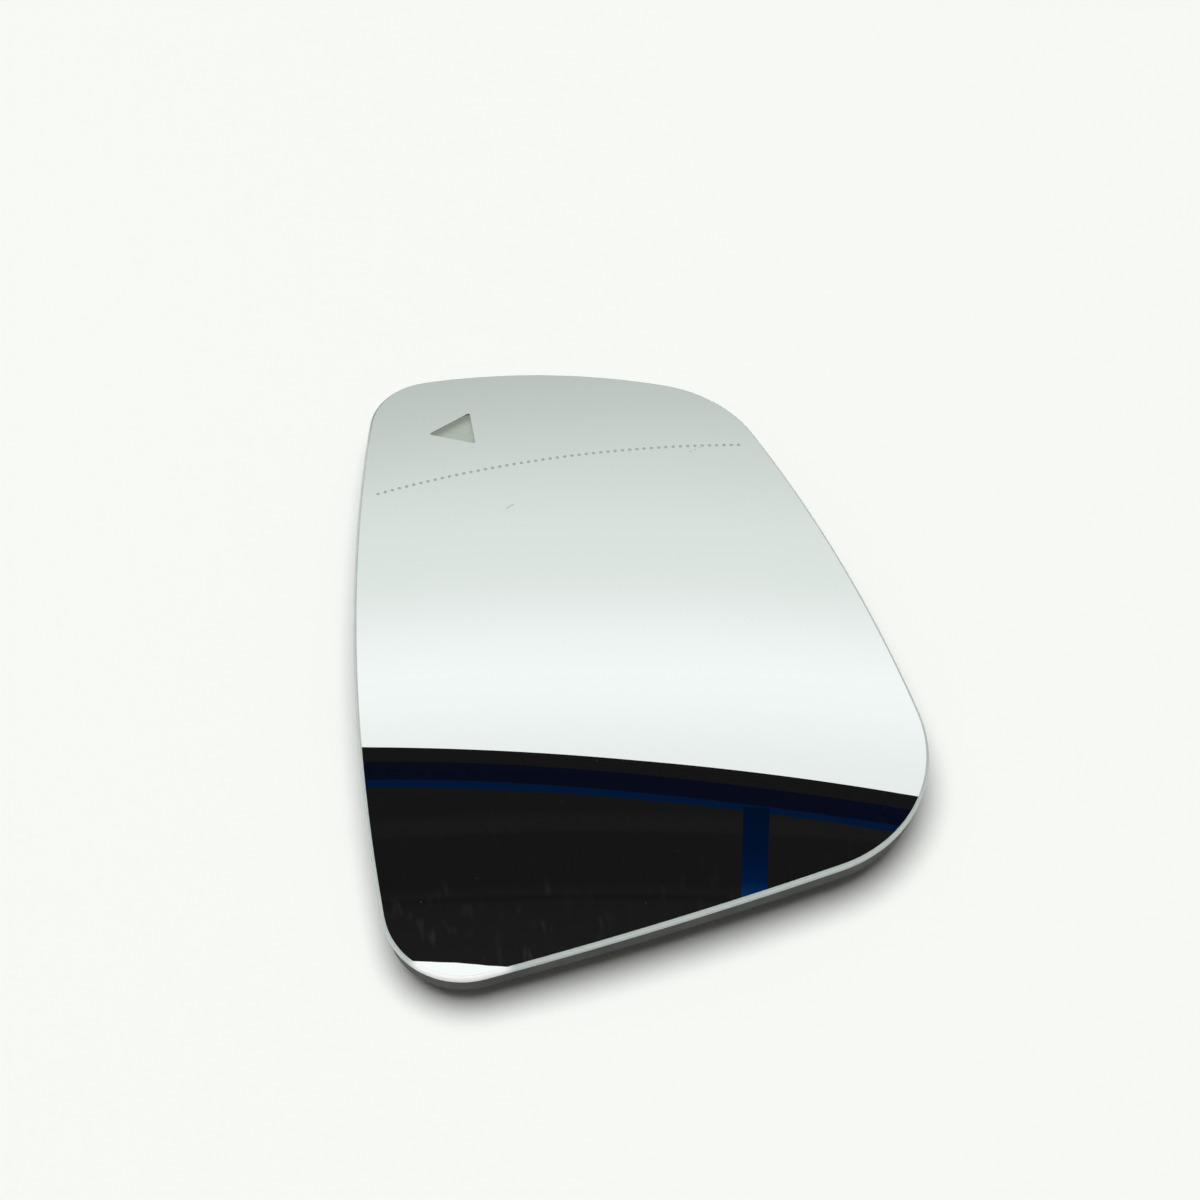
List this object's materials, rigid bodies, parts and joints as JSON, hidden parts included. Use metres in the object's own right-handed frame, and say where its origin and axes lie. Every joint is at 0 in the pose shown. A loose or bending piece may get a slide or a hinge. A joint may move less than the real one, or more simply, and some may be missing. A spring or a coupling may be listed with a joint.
{
  "type": "door mirror glass",
  "caption": "Heated convex door mirror glass with a blind-spot warning window, bonded to a carrier plate with a round snap collar for the mirror drive.",
  "frame": {"origin": "middle of the bounding box, in the plane of the collar's rear rim, which is the table when the glass lies on its back", "axes": "+Z out of the reflecting face, +Y towards the outboard end, +X towards the lower edge as worn on the right-hand door"},
  "size_m": [0.143, 0.1914, 0.0196],
  "materials": {
    "coating": "front-surface reflecting coating, polished",
    "glass": "float glass with a ground, matt edge",
    "film": "amber polyester film",
    "electrode": "printed silver ink",
    "foam": "closed-cell foam tape",
    "seal": "soft foam rubber",
    "carrier": "black moulding, fine grain",
    "acetal": "natural acetal",
    "spring_steel": "drawn spring wire",
    "tinned": "tin-plated brass",
    "rivet": "upset rivet head",
    "housing": "black moulding",
    "diffuser": "milky acrylic",
    "board": "green solder mask",
    "led": "yellow phosphor in a white case",
    "resistor": "fired ceramic",
    "header": "cream polyamide",
    "pin": "plated pin",
    "screw": "zinc plated"
  },
  "bodies": {
    "root": {"mirror_coating": "coating", "mirror_glass": "glass", "heater_film": "film", "heater_electrodes": "electrode", "bond_pad": "foam", "window_seal": "seal", "carrier_plate": "carrier", "pivot_socket": "acetal", "spindle_sockets": "acetal", "collar_spring": "spring_steel", "heater_terminals": "tinned", "terminal_rivets": "rivet", "indicator_housing": "housing", "indicator_lens": "diffuser", "indicator_board": "board", "indicator_leds": "led", "board_resistors": "resistor", "header_shell": "header", "header_pins": "pin", "housing_screws": "screw"}
  },
  "joints": []
}
